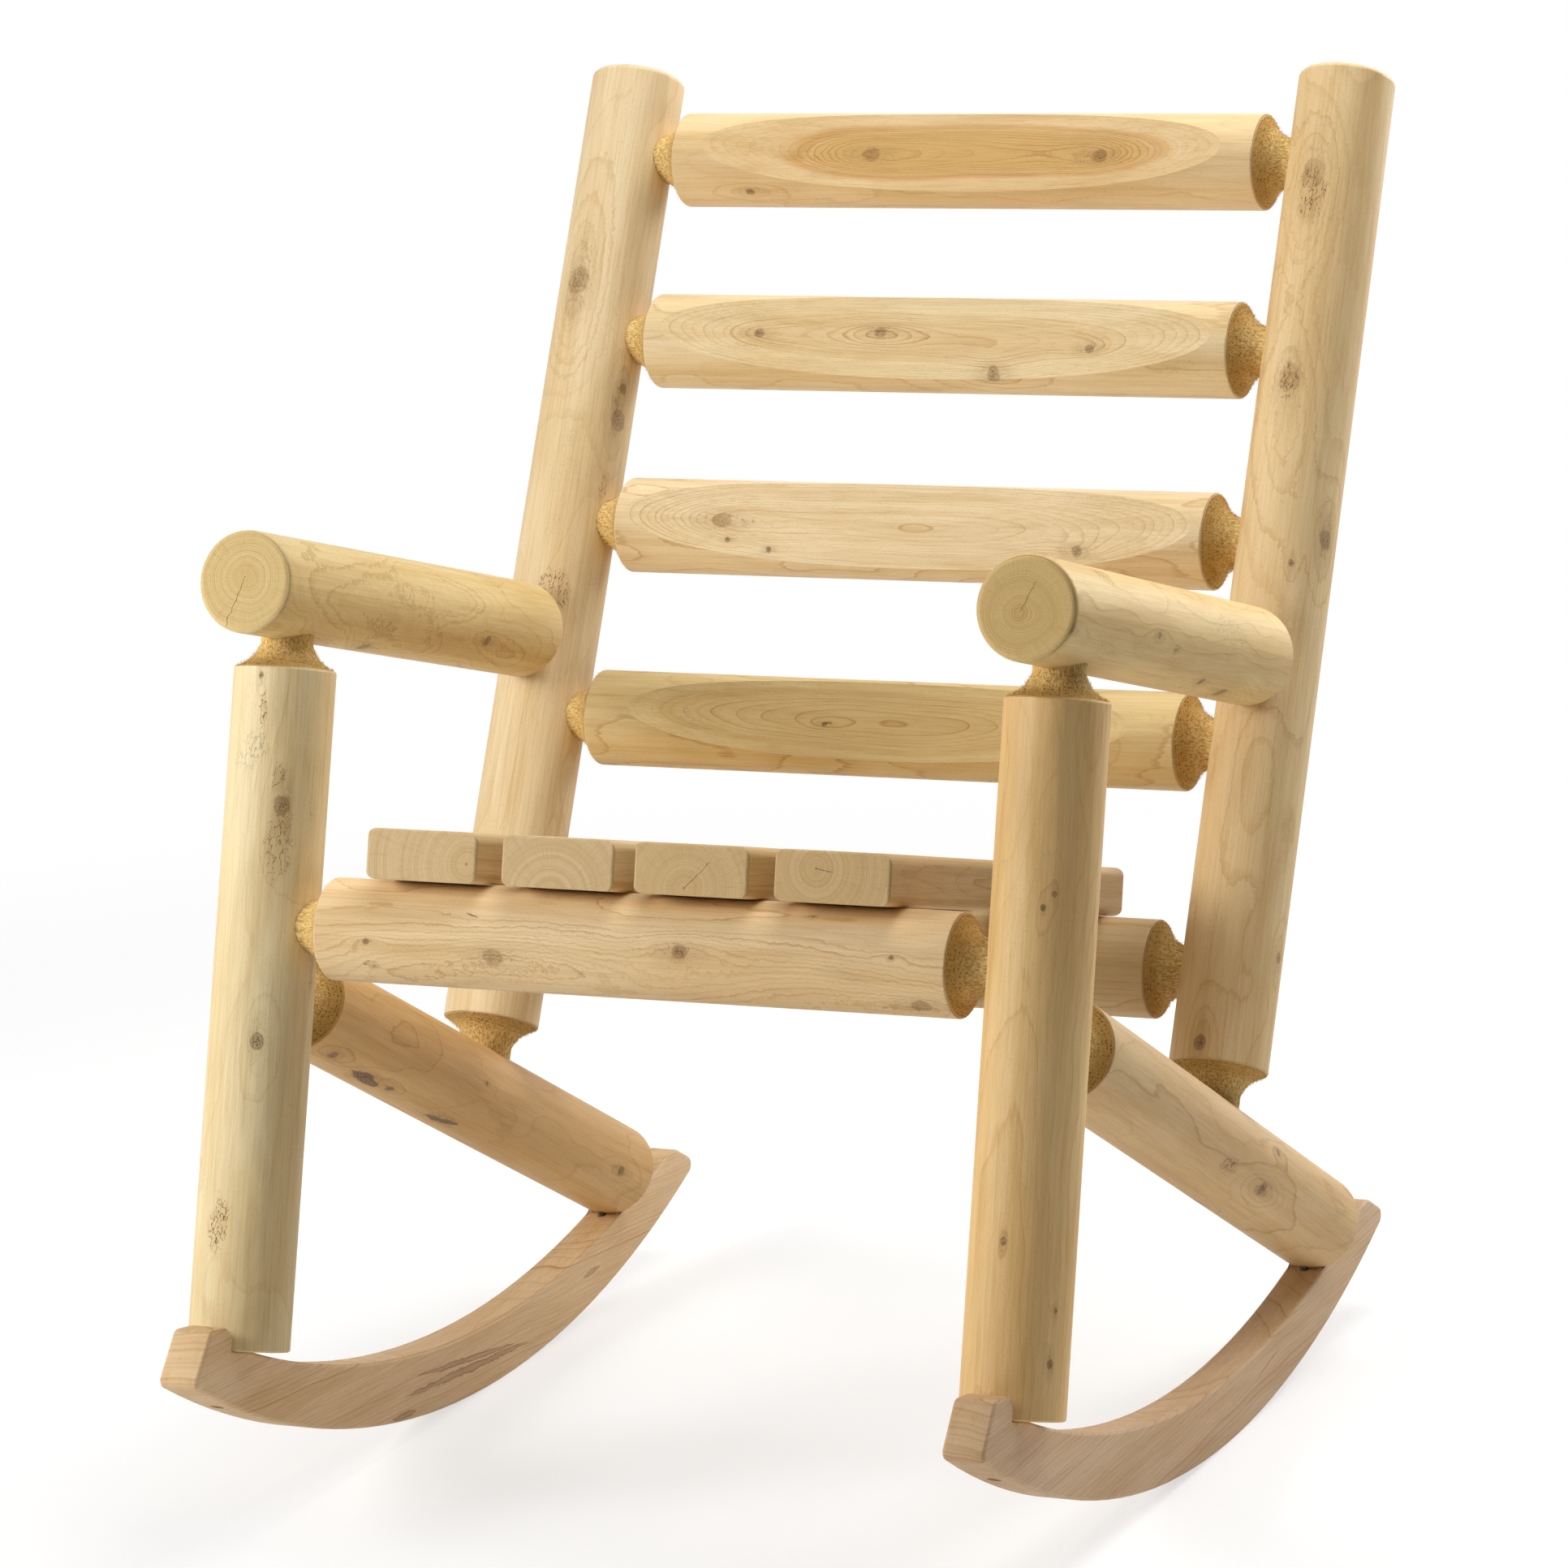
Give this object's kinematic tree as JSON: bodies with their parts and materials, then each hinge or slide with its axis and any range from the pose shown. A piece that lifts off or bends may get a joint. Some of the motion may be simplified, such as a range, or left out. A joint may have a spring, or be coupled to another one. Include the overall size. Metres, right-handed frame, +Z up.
{
  "type": "rocking chair",
  "caption": "Log rocking chair with turned cedar posts, ladder back of scooped rails, slatted seat, log arms and sawn board rockers.",
  "frame": {"origin": "bottom centre of the bounding box, on the floor under the middle of the chair, at the level where the rockers roll", "axes": "+Z up; -Y to the front, the way the sitter faces; +X to the viewer's right when the chair is seen from the front; the empty chair stands at its balance, its legs leaning back 16 degrees"},
  "size_m": [0.6904, 0.9346, 1.0072],
  "materials": {
    "cedar_log": "peeled and turned, sanded, unfinished",
    "cedar_slat": "planed, unfinished",
    "cedar_board": "sawn and sanded, unfinished",
    "screw_steel": "zinc-plated"
  },
  "bodies": {
    "root": {"rocker_left": "cedar_board", "rocker_right": "cedar_board", "front_leg_left": "cedar_log", "front_leg_right": "cedar_log", "side_brace_left": "cedar_log", "side_brace_right": "cedar_log", "back_post_left": "cedar_log", "back_post_right": "cedar_log", "arm_left": "cedar_log", "arm_right": "cedar_log", "back_rail_1": "cedar_log", "back_rail_2": "cedar_log", "back_rail_3": "cedar_log", "back_rail_4": "cedar_log", "front_seat_rail": "cedar_log", "rear_seat_rail": "cedar_log", "seat_slat_1": "cedar_slat", "seat_slat_2": "cedar_slat", "seat_slat_3": "cedar_slat", "seat_slat_4": "cedar_slat", "tenon_screws": "screw_steel", "arm_screws": "screw_steel", "slat_screws": "screw_steel", "rocker_screws": "screw_steel"}
  },
  "joints": []
}
